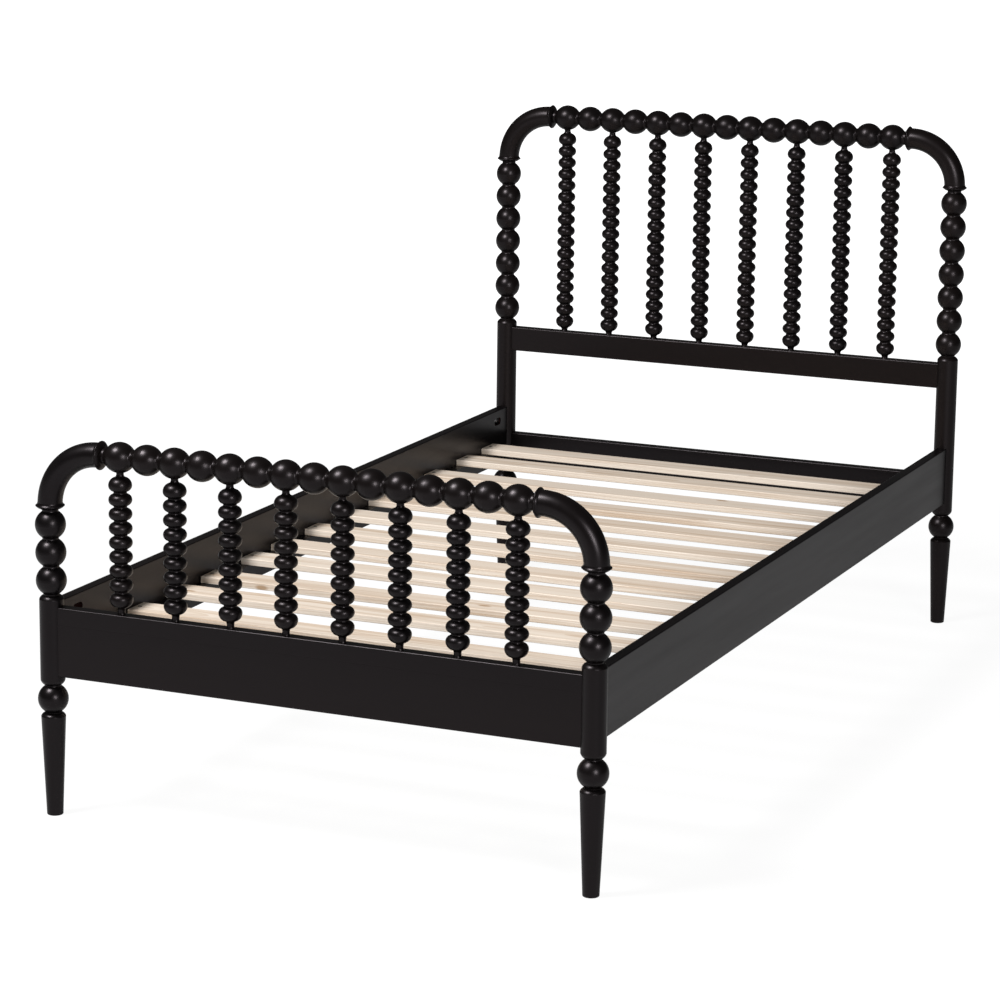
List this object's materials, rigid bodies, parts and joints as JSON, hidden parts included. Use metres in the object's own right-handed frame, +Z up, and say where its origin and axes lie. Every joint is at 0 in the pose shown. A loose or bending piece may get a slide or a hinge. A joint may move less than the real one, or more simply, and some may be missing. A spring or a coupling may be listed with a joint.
{
  "type": "spindle bed",
  "caption": "Black spindle bed frame with ball-turned posts and rails, rounded corner bends, beaded spindles, plain side rails and a slatted pine base.",
  "frame": {"origin": "on the floor, at the centre of the bed's plan", "axes": "+X to the right as seen from the foot end, +Y from the foot end to the head end, +Z up"},
  "size_m": [1.0698, 2.0297, 1.0623],
  "materials": {
    "black_paint": "satin black paint on wood",
    "pine": "planed, unfinished",
    "beech": "raw",
    "zinc_steel": "zinc plated",
    "black_steel": "black phosphate"
  },
  "bodies": {
    "root": {"foot_left_post": "black_paint", "foot_right_post": "black_paint", "foot_left_bend": "black_paint", "foot_right_bend": "black_paint", "foot_ball_rail": "black_paint", "foot_spindle_1": "black_paint", "foot_spindle_2": "black_paint", "foot_spindle_3": "black_paint", "foot_spindle_4": "black_paint", "foot_spindle_5": "black_paint", "foot_spindle_6": "black_paint", "foot_spindle_7": "black_paint", "foot_spindle_8": "black_paint", "head_left_post": "black_paint", "head_right_post": "black_paint", "head_left_bend": "black_paint", "head_right_bend": "black_paint", "head_ball_rail": "black_paint", "head_spindle_1": "black_paint", "head_spindle_2": "black_paint", "head_spindle_3": "black_paint", "head_spindle_4": "black_paint", "head_spindle_5": "black_paint", "head_spindle_6": "black_paint", "head_spindle_7": "black_paint", "head_spindle_8": "black_paint", "foot_panel": "black_paint", "head_mid_rail": "black_paint", "head_lower_panel": "black_paint", "left_side_rail": "black_paint", "right_side_rail": "black_paint", "left_ledge": "black_paint", "right_ledge": "black_paint", "slat_01": "pine", "slat_02": "pine", "slat_03": "pine", "slat_04": "pine", "slat_05": "pine", "slat_06": "pine", "slat_07": "pine", "slat_08": "pine", "slat_09": "pine", "slat_10": "pine", "slat_11": "pine", "slat_12": "pine", "slat_13": "pine", "foot_board_dowels": "beech", "head_board_dowels": "beech", "rail_studs": "zinc_steel", "rail_half_moons": "zinc_steel", "rail_nuts": "zinc_steel", "ledge_screws": "black_steel", "slat_screws": "black_steel"}
  },
  "joints": []
}
